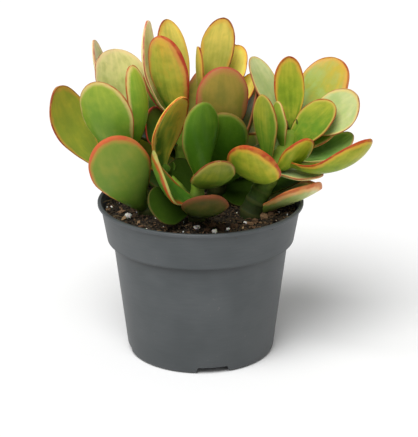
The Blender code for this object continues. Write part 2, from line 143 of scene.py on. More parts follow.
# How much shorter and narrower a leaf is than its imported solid.
SHYNESS = 0.2 * MM
UPPER_SHARE = 0.26
LOWER_SHARE = 0.76
SLIGHTEST_BEND = 0.01
SLOW_WAVES = 1.1
SLOW_SWAY = 0.020
QUICK_WAVES = 3.3
QUICK_SWAY = 0.008
CREASE_WIDTH = 0.13
CREASE_DEPTH = 0.22 * MM
RIPPLES = 1.7
RIPPLE_HEIGHT = 0.30 * MM
LEAF_STEPS = 26
BUD_STEPS = 14

# Studio
SUN_PLACE = (-0.30, -0.62, 1.1)
SUN_WIDTH = math.radians(42)
SUN_STRENGTH = 3.0
SKY_STRENGTH = 0.36

Leaf = namedtuple(
    "Leaf", "stem skin height stalk azimuth rise length width roll bend tone tip lean cup", defaults=(CUP,))
Stem = namedtuple("Stem", "foot_radius tip_radius points")
Skin = namedtuple("Skin", "name heart face ripe brim line band_width line_width gloss")


def records(kind, words, table):
    """The rows of a text table as records. In each row the words come first, then the numbers."""
    rows = [line.split() for line in table.strip().splitlines()]
    return [kind(*row[:words], *map(float, row[words:])) for row in rows]


# Stem routes in millimetres, from the soil up. One that starts above STEM_FOOT is a side twig.
STEMS = {
    "left": Stem(5.2, 3.6, ((-31, -10, 89), (-34, -9, 98), (-39, -8, 112), (-41, -3, 126), (-41, 5, 142))),
    "left_side": Stem(3.2, 2.6, ((-38, -8, 106), (-45, -7, 109), (-52, -5, 111))),
    "left_back": Stem(3.4, 2.6, ((-40, -4, 120), (-46, 10, 128), (-50, 22, 134))),
    "back_left": Stem(5.4, 3.4, ((-8, 12, 89), (-9, 12, 105), (-11, 11, 125), (-11, 13, 148))),
    "back_right": Stem(5.4, 3.4, ((9, 10, 89), (10, 8, 105), (9, 9, 125), (7, 13, 150))),
    "centre": Stem(4.8, 3.4, ((-2, -22, 89), (-2, -22, 100), (0, -18, 118))),
    "centre_left": Stem(3.0, 2.6, ((-5, -20, 98), (-12, -17, 104), (-18, -13, 110))),
    "right": Stem(6.4, 4.2, ((29, -15, 89), (33, -14, 98), (41, -11, 113), (49, -4, 124), (52, 2, 131))),
}

# Leaf skins as seen in daylight: the heart by the stalk, the face, the ripe tip, the brim inside the margin
# and the line along it, then the widths of brim and line in millimetres and how glossy the skin is.
# The dark shade and umber skins are painted shade, for leaves deep inside the plant.
# The pale mint heart #a2c07c is partly the leaf's waxy coat and partly a painted sheen.
SKINS = {skin.name: skin for skin in records(Skin, 6, """
    olive #86983a #9ca93c #bfb840 #dca44a #90382a 1.7 0.75 0.5
    sap #4a6c17 #8a9e2a #bcb23a #dea840 #a83a24 1.2 0.80 0.5
    grass #4e7220 #698a28 #a8a638 #c8ac54 #9a4a2a 0.9 0.60 0.5
    fresh #5e852a #739430 #9ca83c #d2b674 #a2542f 1.2 0.60 0.7
    dusty #66892e #77913a #8e983e #b88e44 #c8603c 0.9 0.75 0.4
    pale #748430 #ccd084 #ecdea0 #f0d6a2 #a05040 1.6 0.60 0.5
    yellow #94a03a #ccc45a #f4dc68 #f0b84e #9c3a22 1.8 0.75 0.5
    patched #42701e #b0b446 #d0a842 #d4884a #ac3428 1.6 0.80 0.4
    ember #44601e #96a23a #d8b444 #dcb050 #963c1e 2.4 0.80 0.3
    folded #3f6a1e #4a7622 #7a963a #c23a22 #a4a85c 2.4 1.00 0.3
    deep #446814 #426c18 #628624 #86903c #8c6c36 0.7 0.50 0.4
    jade #3a5416 #5c7f38 #84a456 #9aa65a #a8825a 0.8 0.55 0.3
    dusk #6e6e30 #877e34 #a3883e #b4704a #b0503f 1.9 0.80 0.2
    mint #8cb068 #b0bc78 #ccd094 #e0c47c #a4583a 1.1 0.60 0.8
    bloom #a2c07c #98a444 #c8ac42 #e0a24a #a2402a 1.8 0.80 0.9
    rust #5f7a30 #8e985a #c4bc94 #cc8e58 #a85a34 1.6 1.10 0.3
    crimson #2f4a18 #3c5a1c #54601e #6a4a2c #c0403a 0.7 0.45 0.1
    umber #26401a #42501e #665a2c #805830 #96583a 1.3 0.60 0.0
    shade #304c12 #364f15 #3e5818 #445420 #5a4628 0.7 0.40 0.0
""")}
SKIN_COLOURS = ("heart", "face", "ripe", "brim", "line")

# Each leaf: its stem and skin, then its height on the stem and its stalk in mm, azimuth and rise in degrees
# (azimuth 0 is +X, 90 is +Y), length and width in mm, roll about its length and upward bend in degrees,
# its skin's tone, then how much wider the line grows at the tip, and on the margin towards azimuth + 90 (+)
# or the other one (-). A last number, where given, is how deeply the leaf folds up along its middle.
SHOOTS = {
    "shoot_left": records(Leaf, 2, """
    left_side olive 111 6 176 62 52 34 -26 42 1 0.3 0
    left fresh 115 7 -134 70 54 33 19 23 1.06 0.3 0
    left dusty 89 9 -120 56 59 34 45 19 1 1.3 0.15
    left fresh 121 2 -46 89 52 18 8 50 1.26 1.2 0.4
    left pale 137 2 115 63 43 36 14 -5 1 0.2 0
    left_back pale 134 2 165 77 47 22 7 5 1.15 0.3 0
    left_back fresh 131 6 52 28 49 29 3 24 1 0.3 0
    left_side fresh 110 7 110 20 45 28 3 28 1 0.3 0
    left_back sap 133 5 87 48 37 22 -3 20 1 0.3 0
    left_back olive 125 7 97 25 49 29 10 25 1 0.3 0
    left shade 98 4 122 21 44 26 3 25 1 0.3 0
    """),
    "shoot_back_left": records(Leaf, 2, """
    back_left pale 137 12 -176 81 53 21 -20 36 1.5 0.2 0
    back_left yellow 134 3 109 66 60 24 26 -5 1 0.2 0
    back_left patched 133 3 -121 72 59 25 6 6 1.08 0.6 0.35
    back_left dusk 133 5 147 61 36 21 -10 18 1 0.3 0
    back_left crimson 122 7 -162 44 22 31 -37 44 1.1 1 -0.8
    back_left shade 94 3 82 23 45 26 -3 13 1 0.3 0
    back_left fresh 114 4 107 22 49 27 9 13 1 0.3 0
    back_left olive 101 6 140 12 48 26 -11 23 1.2 0.3 0
    back_left dusk 132 5 57 32 48 26 11 11 1.15 0.3 0
    back_left shade 110 5 159 39 28 16 0 6 1 0.3 0
    back_left shade 111 8 131 6 48 14 15 1 1 0.3 0
    back_left shade 96.5 7 -141 10 21 24 -22 35 0.8 0.3 0
    """),
    "shoot_back_right": records(Leaf, 2, """
    back_right yellow 149 2 71 68 46 26 -23 -10 0.72 0.6 0
    back_right yellow 137 5 176 83 41 17 15 13 0.8 0.1 0
    back_right yellow 143 4 52 55 38 19 9 21 1.44 0.2 0
    back_right dusk 120 7 -67 86 48 31 -13 22 1 0.6 0
    back_right yellow 134 7 36 45 32 15 9 25 1.2 0.8 0
    back_right olive 128 3 32 -2 44 21 8 7 1.15 0.3 0
    back_right deep 104 4 -73 69 44 27 -23 12 0.8 0.8 0
    back_right fresh 110 7 92 25 50 27 0 15 1 0.3 0
    back_right fresh 97 4 67 24 49 25 2 25 0.8 0.3 0
    back_right fresh 101 5 21 28 49 29 -5 24 0.8 0.3 0
    back_right sap 141 5 82 42 48 24 -8 19 1 0.3 0
    back_right deep 98 4 -62 39 41 21 2 24 1 0.3 0
    back_right umber 105 6 20 68 50 24 -12 17 1.1 0.5 0
    back_right shade 92 3 -13 2 21 23 28 12 0.8 0.3 0
    """),
    "shoot_centre": records(Leaf, 2, """
    centre deep 110 2 -54 87 46 25 0 -4 1 0.1 0
    centre_left ember 110 6 158 107 47 30 -12 36 1.82 0.2 -0.8
    centre folded 98 4 -132 48 43 33 -37 60 1 0.2 -0.8 0.06
    centre shade 94 5 128 59 27 23 2 44 0.75 0.5 0
    centre grass 108 5 -76 30 54 24 -1 45 0.62 0.2 0
    centre umber 91 3 -80 30 49 26 -6 34 0.56 1.2 0
    centre shade 92 7 -136 18 32 24 -52 20 0.86 0.1 0
    """),
    "shoot_right": records(Leaf, 2, """
    right sap 108 1 -108 39 50 30 -1 53 1.08 1.6 0.4
    right grass 115 6 -137 83 42 16 12 5 0.994 0.3 -0.2
    right mint 131 3 136 54 48 21 4 3 1 0.1 -0.3
    right fresh 123 2 -136 81 30 12 -4 14 1.3 0.1 0
    right sap 131 1 98 78 44 18.5 4 18 1.04 1.2 0
    right bloom 131 6 50 41 51 33 6 30 1 0.4 -0.3
    right grass 121 4 10 47 38 24 30 -8 1.05 0.5 0.4
    right mint 129 8 0 34 38 30 35 45 1.06 0.3 0.2
    right sap 111 5 -36 47 32 18 -26 28 1.12 0.8 0
    right jade 113.5 12 17 16 40 24 8 57 1.29 0.6 0
    right sap 114.5 12 -34 23 55 30 -12 75 1 0.3 0 0.18
    right mint 112 2 -18 1 29 20 3 11 1 0.4 0
    right rust 89 1 18 14 44 34 -14 3 1.5 1.0 0 0.45
    right fresh 120 4 28 28 43 24 12 25 1.4 0.3 0
    right sap 135 7 110 30 42 24 11 17 1 0.3 0
    right shade 96 5 60 16 52 32 7 22 1 0.3 0
    right fresh 123 7 74 24 45 24 -6 20 1 0.3 0
    """),
}
# The young leaves that close each stem's tip: the azimuth of its pair, and the form they share.
BUDS = {"left": 30, "left_side": 80, "left_back": 90, "back_left": 20, "back_right": 150, "centre": 60,
        "centre_left": 60, "right": 20}
# Their dark shade skin is painted shade: young jade leaves are brighter green.
BUD = Leaf("", "shade", 0, 0.5, 0, 70, 9, 6, 0, 30, 1.3, 0.3, 0)

# White perlite: x and y in mm on the soil, then the grain's rough size in mm.
PERLITE = (
    (-41.5, -18.5, 4.4), (-1.8, -35.5, 3.4), (8, -42, 3.2), (15.5, -39, 2.4), (25.5, -27, 2.2),
    (29, -10, 2.0), (50, -12, 1.8), (-52, 1, 1.8), (43, 17, 2.6), (-20, 44, 3.0),
    (15, 50, 2.4), (-47, 22, 2.6), (34, 38, 3.2), (-4, 37, 2.2), (52, 8, 2.0),
)
# Light brown clods of bark and peat: x and y in mm, then the rough size in mm.
CLODS = (
    (7, -33, 4.2), (12, -37, 4.8), (19, -33, 4.0), (4, -40, 3.4), (31, -26, 4.4),
    (36, -18, 5.0), (28, -20, 3.6), (42, -8, 4.4), (40, -14, 3.2), (-33, -36, 3.4),
    (-14, 40, 4.6), (22, 44, 4.0), (-38, 30, 4.2),
)


def srgb(code):
    """A linear colour from a six digit code such as #8fb04c."""
    shares = [int(code[place:place + 2], 16) / 255 for place in (1, 3, 5)]
    return tuple(((s + 0.055) / 1.055) ** 2.4 if s > 0.04045 else s / 12.92 for s in shares)


# Shader nodes

class Wire:
    """A number or colour in a finish's node tree. Sums on it add Math nodes."""

    def __init__(self, finish, socket):
        self.finish = finish
        self.socket = socket

    def math(self, operation, *values):
        return self.finish.node("Math", {"operation": operation}, dict(enumerate(values)))

    def __add__(self, other):
        return self.math("ADD", self, other)

    def __radd__(self, other):
        return self.math("ADD", other, self)

    def __sub__(self, other):
        return self.math("SUBTRACT", self, other)

    def __mul__(self, other):
        return self.math("MULTIPLY", self, other)

    def __pow__(self, other):
        return self.math("POWER", self, other)


class Finish:
    """A material built as a node tree round one Principled BSDF."""

    def __init__(self, name, **constants):
        self.material = bpy.data.materials.new(name)
        self.material.use_nodes = True
        self.tree = self.material.node_tree
        self.shader = self.tree.nodes["Principled BSDF"]
        for socket, value in constants.items():
            self.shader.inputs[socket.replace("_", " ")].default_value = value
        self.place = self.node("TexCoord", {}, {}, "Object")

    def node(self, kind, settings, values, output=0):
        """Any node: its settings first, then the values or links of its sockets."""
        made = self.tree.nodes.new(f"ShaderNode{kind}")
        for setting, value in settings.items():
            if setting == "stops":
                self.set_stops(made.color_ramp, value)
            else:
                setattr(made, setting, value)
        for socket, value in values.items():
            if isinstance(value, Wire):
                self.tree.links.new(value.socket, made.inputs[socket])
            else:
                made.inputs[socket].default_value = value
        return Wire(self, made.outputs[output])

    def set_stops(self, ramp, stops):
        while len(ramp.elements) < len(stops):
            ramp.elements.new(0.5)
        for element, (position, colour) in zip(ramp.elements, stops):
            element.position = position
            element.color = (*colour, 1)

    def ramp(self, share, *stops):
        return self.node("ValToRGB", {"stops": stops}, {"Fac": share})

    def mix(self, share, low, high):
        """The colour low where share is 0 and high where it is 1."""
        low, high = (value if isinstance(value, Wire) else (*value, 1) for value in (low, high))
        return self.node("Mix", {"data_type": "RGBA", "clamp_factor": True}, {0: share, 6: low, 7: high}, 2)

    def smooth(self, value, start, end):
        """0 below start, 1 above end and a smooth step between; start may be the larger."""
        values = {"Value": value, "From Min": start, "From Max": end}
        return self.node("MapRange", {"interpolation_type": "SMOOTHSTEP"}, values)

    def noise(self, size, detail=2, roughness=0.5, place=None):
        """Noise whose patches are about the given size in metres."""
        values = {"Vector": place or self.place, "Scale": 1 / size, "Detail": detail, "Roughness": roughness}
        return self.node("TexNoise", {}, values)

    def attribute(self, name, output="Fac"):
        return self.node("Attribute", {"attribute_name": name}, {}, output)

    def split(self, vector):
        return [self.node("SeparateXYZ", {}, {"Vector": vector}, axis) for axis in "XYZ"]

    def bump(self, height, strength, depth):
        """A normal from a height of 0 to 1 that stands for a depth in metres."""
        return self.node("Bump", {}, {"Height": height, "Strength": strength, "Distance": depth})

    def feed(self, **wires):
        for socket, wire in wires.items():
            self.tree.links.new(wire.socket, self.shader.inputs[socket.replace("_", " ")])


def leaf_skin():
    """Waxy skin whose colours each leaf carries in its own attributes."""
    skin = Finish("leaf_skin", Specular_IOR_Level=0.02, Subsurface_Weight=0.12, Subsurface_Scale=0.003,
                  Subsurface_Radius=(0.6, 0.8, 0.1), Coat_Roughness=0.22, Coat_IOR=1.35)
    along, across, gloss = skin.split(skin.attribute("place", "Vector"))
    line, band, seed = skin.split(skin.attribute("rim", "Vector"))
    clouds = skin.noise(16 * MM, 3)
    veil = skin.noise(5 * MM, 3)
    pores = skin.noise(0.55 * MM, 1)
    streaked = skin.node("CombineXYZ", {}, {"X": across * 5 + seed * 7, "Y": along * 1.6, "Z": seed * 11})
    streaks = skin.noise(1, 3, place=streaked)
    reach = along + (clouds - 0.5) * 0.5 + (streaks - 0.5) * 0.25
    heart, plain, ripe, brim, edging = (skin.attribute(name, "Color") for name in SKIN_COLOURS)
    face = skin.mix(skin.smooth(reach, 0.02, 0.50), heart, plain)
    aged = skin.smooth(reach, 0.50, 1.0) * 0.8
    aged = aged + skin.smooth(clouds + (streaks - 0.5) * 0.6, 0.52, 0.80) * 0.4
    face = skin.mix(aged, face, ripe)
    cool = skin.smooth(clouds * 0.6 + veil * 0.4 + (streaks - 0.5) * 0.5, 0.56, 0.30) * 0.26
    face = skin.mix(cool, face, heart)
    mottle = skin.noise(7 * MM, 3, 0.55)
    face = skin.mix(skin.smooth(mottle, 0.48, 0.70) * 0.30, face, ripe)
    face = skin.mix(skin.smooth(mottle, 0.52, 0.32) * 0.22, face, heart)
    face = skin.mix(skin.smooth(pores, 0.62, 0.78) * 0.04, face, srgb("#cfd88a"))
    edge_waver = (veil - 0.5) * 0.9 + (clouds - 0.5) * 1.6
    glow = skin.smooth(band + edge_waver, 1.35, 0.45)
    face = skin.mix(glow * 0.75, face, brim)
    stroke = skin.smooth(line + edge_waver * 0.8, 1.35, 0.60)
    patchy = skin.smooth(skin.noise(7 * MM, 2), 0.36, 0.56) * 0.3 + 0.65
    face = skin.mix(stroke * patchy, face, edging)
    skin.feed(Base_Color=face,
              Roughness=0.34 + veil * 0.16 + stroke * 0.06,
              Coat_Weight=0.03 + gloss * (0.20 + clouds * 0.6),
              Normal=skin.bump(pores * 0.35 + veil * 0.65, 0.25, 0.18 * MM))
    return skin.material


def stem_bark():
    """Green stem skin that turns corky brown towards the soil, with pale scars at the leaf rings."""
    bark = Finish("stem_bark", Specular_IOR_Level=0.15, Subsurface_Weight=0.08, Subsurface_Scale=0.003)
    height, ring, seed = bark.split(bark.attribute("place", "Vector"))
    lumps = bark.noise(4 * MM, 4, 0.6)
    fine = bark.noise(0.8 * MM, 3, 0.6)
    # Painted shade: the green darkens down the stem, where the leaves shade it.
    green = bark.mix(bark.smooth(height + (lumps - 0.5) * 0.5, 0.1, 0.9), srgb("#243c12"), srgb("#829e32"))
    cork = bark.mix(fine, srgb("#2c2a18"), srgb("#46442a"))
    skin = bark.mix(bark.smooth(height + (lumps - 0.5) * 0.5, 0.30, 0.02) * 0.5, green, cork)
    skin = bark.mix(bark.smooth(ring, 0.45, 0.95) * 0.16, skin, srgb("#77703a"))
    bark.feed(Base_Color=skin, Roughness=0.5 + fine * 0.25,
              Normal=bark.bump(lumps * 0.5 + fine * 0.5, 0.5, 0.4 * MM))
    return bark.material


def pot_plastic():
    """Slate grey moulded plastic: fine grain, faint flow marks, dust, soil stains and painted shade."""
    plastic = Finish("pot_plastic", Specular_IOR_Level=0.5)
    east, north, up = plastic.split(plastic.place)
    grain = plastic.noise(0.35 * MM, 2)
    flow = plastic.noise(28 * MM, 2)
    level = plastic.node("CombineXYZ", {}, {"X": east, "Y": north, "Z": up * 9})
    drawn = plastic.noise(9 * MM, 3, place=level)
    specks = plastic.noise(1.6 * MM, 1)
    clouds = plastic.smooth(flow * 0.75 + drawn * 0.25, 0.3, 0.7)
    body = plastic.mix(clouds, srgb("#3f4446"), srgb("#4c5052"))
    # Painted shade: a dark band just under the collar's step, where the collar shades the body.
    painted_collar_shade = plastic.smooth(up, COLLAR_FOOT - 5 * MM, COLLAR_FOOT)
    painted_collar_shade = painted_collar_shade * plastic.smooth(up, COLLAR_FOOT + 1.5 * MM, COLLAR_FOOT)
    # Painted shade: the body darkens towards the foot.
    painted_foot_shade = plastic.smooth(up + (flow - 0.5) * 20 * MM, 66 * MM, 0) * 0.35
    body = plastic.mix(painted_collar_shade * 0.55, body, srgb("#1e2122"))
    body = plastic.mix(painted_foot_shade, body, srgb("#2c3031"))
    dust = plastic.smooth(specks, 0.70, 0.80) * plastic.smooth(flow, 0.45, 0.7)
    body = plastic.mix(dust * 0.22, body, srgb("#9b958a"))
    # Painted shade on the inside of the collar, darker still below the soil's top, where soil stains it.
    taper = (COLLAR_TOP_RADIUS - COLLAR_FOOT_RADIUS) / (POT_HEIGHT - RIM_DEPTH - COLLAR_FOOT)
    inset = (up - COLLAR_FOOT) * taper + COLLAR_FOOT_RADIUS - (east * east + north * north) ** 0.5
    inner = plastic.smooth(inset, 0.7 * WALL, 0.95 * WALL) * plastic.smooth(up, COLLAR_FOOT, SHOULDER)
    soiled = plastic.smooth(up + (flow - 0.5) * 4 * MM, 90 * MM, 87 * MM)
    body = plastic.mix(inner * (0.35 + soiled * 0.5), body, srgb("#1a1511"))
    plastic.feed(Base_Color=body, Roughness=0.42 + grain * 0.10 + flow * 0.06 + dust * 0.2,
                 Normal=plastic.bump(grain, 0.35, 0.05 * MM))
    return plastic.material


def soil_finish():
    """Damp potting soil: near-black peat with brown dust in patches."""
    soil = Finish("soil_mix", Specular_IOR_Level=0.35)
    lumps = soil.noise(5 * MM, 4, 0.6)
    fine = soil.noise(0.7 * MM, 3, 0.6)
    earth = soil.ramp(lumps * 0.6 + fine * 0.4, (0.30, srgb("#13100a")), (0.50, srgb("#2c241a")),
                      (0.62, srgb("#4c4030")), (0.75, srgb("#746248")))
    soil.feed(Base_Color=earth, Roughness=0.75 + fine * 0.25, Normal=soil.bump(fine, 0.8, 0.5 * MM))
    return soil.material


def crumb_finish(name, *stops):
    """Loose soil bits, each with its own tint from the stops, and a rough, pitted face."""
    crumb = Finish(name, Specular_IOR_Level=0.35)
    fine = crumb.noise(0.5 * MM, 3, 0.6)
    tint = crumb.ramp(crumb.attribute("tint") * 0.86 + fine * 0.24 - 0.05, *stops)
    crumb.feed(Base_Color=tint, Roughness=0.72 + fine * 0.28, Normal=crumb.bump(fine, 0.7, 0.3 * MM))
    return crumb.material


def perlite_finish():
    """Expanded white glass: chalky, with small grey pits and patches of soil dust."""
    grain = Finish("perlite", Specular_IOR_Level=0.4, Subsurface_Weight=0.15, Subsurface_Scale=0.001)
    pits = grain.noise(0.6 * MM, 2, 0.6)
    dust = grain.noise(1.8 * MM, 2)
    # Painted shade: grey in the pits, the hollows that the bump sinks.
    white = grain.mix(grain.smooth(pits, 0.42, 0.30), srgb("#f6f3ea"), srgb("#a39a8c"))
    white = grain.mix(grain.smooth(dust, 0.58, 0.74) * 0.5, white, srgb("#8a7355"))
    grain.feed(Base_Color=white, Roughness=0.8 + pits * 0.2, Normal=grain.bump(pits, 0.8, 0.4 * MM))
    return grain.material


# Meshes

def new_object(name, mesh):
    obj = bpy.data.objects.new(name, mesh)
    bpy.context.scene.collection.objects.link(obj)
    return obj


def plain_mesh(name, bm):
    """The mesh drawn in an edit mesh, which is freed."""
    mesh = bpy.data.meshes.new(name)
    bm.to_mesh(mesh)
    bm.free()
    return mesh


def piece(name, mesh, finish, sharp_angle=None):
    """A finished object that shows one mesh in one finish, shaded smooth."""
    mesh.materials.clear()
    mesh.materials.append(finish)
    mesh.shade_smooth()
    if sharp_angle:
        mesh.set_sharp_from_angle(angle=math.radians(sharp_angle))
    return new_object(name, mesh)


def settled(obj):
    """The plain mesh of an object with its modifiers applied. The object itself goes."""
    bpy.context.view_layer.update()
    graph = bpy.context.evaluated_depsgraph_get()
    mesh = bpy.data.meshes.new_from_object(obj.evaluated_get(graph))
    bpy.data.objects.remove(obj, do_unlink=True)
    return mesh


class Shell:
    """Closed skins gathered into one mesh, with values kept at each point."""

    def __init__(self):
        self.points = []
        self.faces = []
        self.values = {}
        self.count = 0

    def add(self, rings, start, end, **values):
        """Skins rings of points, an array of ring by point by axis, closed with a pole at start and end."""
        ring_count, size = rings.shape[:2]
        first = self.count
        self.points += [rings.reshape(-1, 3), np.array([start, end])]
        here = np.arange(size)
        after = (here + 1) % size
        for low in range(first, first + (ring_count - 1) * size, size):
            high = low + size
            self.faces += np.stack([low + here, low + after, high + after, high + here], 1).tolist()
        start_pole = first + ring_count * size
        last = start_pole - size
        self.faces += [(start_pole, first + b, first + a) for a, b in zip(here.tolist(), after.tolist())]
        self.faces += [(start_pole + 1, last + a, last + b) for a, b in zip(here.tolist(), after.tolist())]
        self.count = start_pole + 2
        for name, value in values.items():
            value = np.asarray(value, float)
            if value.ndim == 1:
                value = np.broadcast_to(value, (ring_count * size + 2, len(value)))
            else:
                value = np.concatenate([value.reshape(ring_count * size, -1), value[0, :1], value[-1, :1]])
            self.values.setdefault(name, []).append(value)

    def mesh(self, name):
        mesh = bpy.data.meshes.new(name)
        mesh.from_pydata(np.concatenate(self.points).tolist(), [], self.faces)
        for key, parts in self.values.items():
            data = np.concatenate(parts)
            kind, field = ("FLOAT_COLOR", "color") if data.shape[1] == 4 else ("FLOAT_VECTOR", "vector")
            mesh.attributes.new(key, kind, "POINT").data.foreach_set(field, data.astype(np.float32).ravel())
        return mesh


# Geometry Nodes

class Recipe:
    """A Geometry Nodes tree with named inputs, run on an object to make a plain mesh."""

    def __init__(self, name, **inputs):
        self.tree = bpy.data.node_groups.new(name, "GeometryNodeTree")
        self.tree.interface.new_socket("Geometry", in_out="INPUT", socket_type="NodeSocketGeometry")
        self.sockets = {}
        for label, kind in inputs.items():
            made = self.tree.interface.new_socket(label, in_out="INPUT", socket_type=f"NodeSocket{kind}")
            self.sockets[label] = made.identifier
        self.tree.interface.new_socket("Geometry", in_out="OUTPUT", socket_type="NodeSocketGeometry")
        self.given = self.tree.nodes.new("NodeGroupInput").outputs

    def node(self, kind, settings, values, output=0):
        made = self.tree.nodes.new(kind)
        for setting, value in settings.items():
            setattr(made, setting, value)
        for socket, value in values.items():
            if isinstance(value, bpy.types.NodeSocket):
                self.tree.links.new(value, made.inputs[socket])
            else:
                made.inputs[socket].default_value = value
        return made.outputs[output]

    def finish(self, geometry, material):
        """Ends the tree with real geometry in one material."""
        real = self.node("GeometryNodeRealizeInstances", {}, {0: geometry})
        dressed = self.node("GeometryNodeSetMaterial", {}, {"Geometry": real, "Material": material})
        self.tree.links.new(dressed, self.tree.nodes.new("NodeGroupOutput").inputs[0])

    def run(self, obj, **sizes):
        modifier = obj.modifiers.new(self.tree.name, "NODES")
        modifier.node_group = self.tree
        for label, value in sizes.items():
            modifier[self.sockets[label]] = value
        return settled(obj)


# Pot

def collar_radius(height):
    """Outer radius of the pot's collar at a height."""
    share = (height - COLLAR_FOOT) / (POT_HEIGHT - RIM_DEPTH - COLLAR_FOOT)
    return COLLAR_FOOT_RADIUS + (COLLAR_TOP_RADIUS - COLLAR_FOOT_RADIUS) * share


def body_radius(height):
    """Outer radius of the pot's tapered body at a height."""
    return FOOT_RADIUS + (BODY_TOP_RADIUS - FOOT_RADIUS) * height / COLLAR_FOOT


def arc(centre, radius, start, end, steps):
    """Points of an arc in the radius and height plane, with its angles in degrees."""
    for step in range(steps + 1):
        angle = math.radians(start + (end - start) * step / steps)
        yield centre[0] + radius * math.cos(angle), centre[1] + radius * math.sin(angle)


def pot_outline():
    """Radius and height from the middle of the floor up the inside, over the lip and back below."""
    neck = BODY_TOP_RADIUS - WALL
    lip = RIM_RADIUS - LIP_ROUNDING
    under = POT_HEIGHT - RIM_DEPTH
    outline = [
        (0, WALL),
        (PAD_RADIUS - WALL, WALL),
        (PAD_RADIUS - WALL / 2, FLOOR_TOP),
        (body_radius(FLOOR_TOP) - WALL - INSIDE_BEVEL, FLOOR_TOP),
        (body_radius(FLOOR_TOP + INSIDE_BEVEL) - WALL, FLOOR_TOP + INSIDE_BEVEL),
        (neck, SHOULDER - INSIDE_BEVEL),
        (neck + INSIDE_BEVEL, SHOULDER),
        (collar_radius(SHOULDER) - WALL - INSIDE_BEVEL, SHOULDER),
        (collar_radius(SHOULDER + INSIDE_BEVEL) - WALL, SHOULDER + INSIDE_BEVEL),
        (RIM_RADIUS - RIM_WIDTH - DRAFT, under),
    ]
    outline += arc((RIM_RADIUS - RIM_WIDTH + LIP_BEVEL, POT_HEIGHT - LIP_BEVEL), LIP_BEVEL, 180, 90, 5)
    outline += arc((lip, POT_HEIGHT - LIP_ROUNDING), LIP_ROUNDING, 90, 0, 6)
    outline += arc((lip, under + LIP_ROUNDING), LIP_ROUNDING, 0, -90, 6)
    cove = INSIDE_BEVEL / 2
    outline += arc((COLLAR_TOP_RADIUS + cove, under - cove), cove, 90, 180, 3)
    outline += arc((COLLAR_FOOT_RADIUS - COLLAR_EDGE, COLLAR_FOOT + COLLAR_EDGE), COLLAR_EDGE, 5, -90, 7)
    outline += arc((BODY_TOP_RADIUS + INSIDE_BEVEL, COLLAR_FOOT - INSIDE_BEVEL), INSIDE_BEVEL, 90, 180, 4)
    outline += arc((FOOT_RADIUS - FOOT_ROUNDING, FOOT_ROUNDING), FOOT_ROUNDING, 0, -90, 8)
    outline += [
        (FOOT_RING_INNER, 0),
        (FOOT_RING_INNER, CHANNEL_HEIGHT),
        (PAD_RADIUS + WALL / 2, CHANNEL_HEIGHT),
        (PAD_RADIUS, 0),
        (0, 0),
    ]
    return outline


def turning_recipe(finish):
    """Sweeps an outline round the upright axis: across it is radius, down it is height."""
    recipe = Recipe("turned_pot", Turns="Int", Radius="Float", Merge="Float")
    path = recipe.node("GeometryNodeCurvePrimitiveCircle", {"mode": "RADIUS"},
                       {"Resolution": recipe.given["Turns"], "Radius": recipe.given["Radius"]})
    outline = recipe.node("GeometryNodeMeshToCurve", {}, {"Mesh": recipe.given["Geometry"]})
    swept = recipe.node("GeometryNodeCurveToMesh", {}, {"Curve": path, "Profile Curve": outline})
    merged = recipe.node("GeometryNodeMergeByDistance", {},
                         {"Geometry": swept, "Distance": recipe.given["Merge"]})
    recipe.finish(merged, finish)
    return recipe


def notch_blocks():
    """Four blocks that open the foot ring to the channel under the floor."""
    bm = bmesh.new()
    for number in range(NOTCH_COUNT):
        azimuth = NOTCH_AZIMUTH + number * math.tau / NOTCH_COUNT
        away = Vector((math.cos(azimuth), math.sin(azimuth), 0))
        side = Vector((-away.y, away.x, 0)) / 2
        corners = []
        for height, width in ((-CUT_PAST, NOTCH_FOOT_WIDTH), (NOTCH_HEIGHT, NOTCH_TOP_WIDTH)):
            for reach, turn in ((NOTCH_INNER, -1), (NOTCH_OUTER, -1), (NOTCH_OUTER, 1), (NOTCH_INNER, 1)):
                corners.append(bm.verts.new(away * reach + side * turn * width + Vector((0, 0, height))))
        for face in ((3, 2, 1, 0), (4, 5, 6, 7), (0, 1, 5, 4), (1, 2, 6, 5), (2, 3, 7, 6), (3, 0, 4, 7)):
            bm.faces.new([corners[index] for index in face])
    return bm


def drain_rods():
    """A ring of rods where the drain holes go through the raised floor."""
    bm = bmesh.new()
    for number in range(DRAIN_COUNT):
        azimuth = NOTCH_AZIMUTH + (number + 0.5) * math.tau / DRAIN_COUNT
        centre = Vector((math.cos(azimuth), math.sin(azimuth), 0)) * DRAIN_RING
        centre.z = CHANNEL_HEIGHT + WALL / 2
        made = bmesh.ops.create_cone(bm, cap_ends=True, segments=DRAIN_SIDES, radius1=DRAIN_RADIUS,
                                     radius2=DRAIN_RADIUS, depth=WALL + 2 * CUT_PAST)
        bmesh.ops.translate(bm, verts=made["verts"], vec=centre)
    return bm


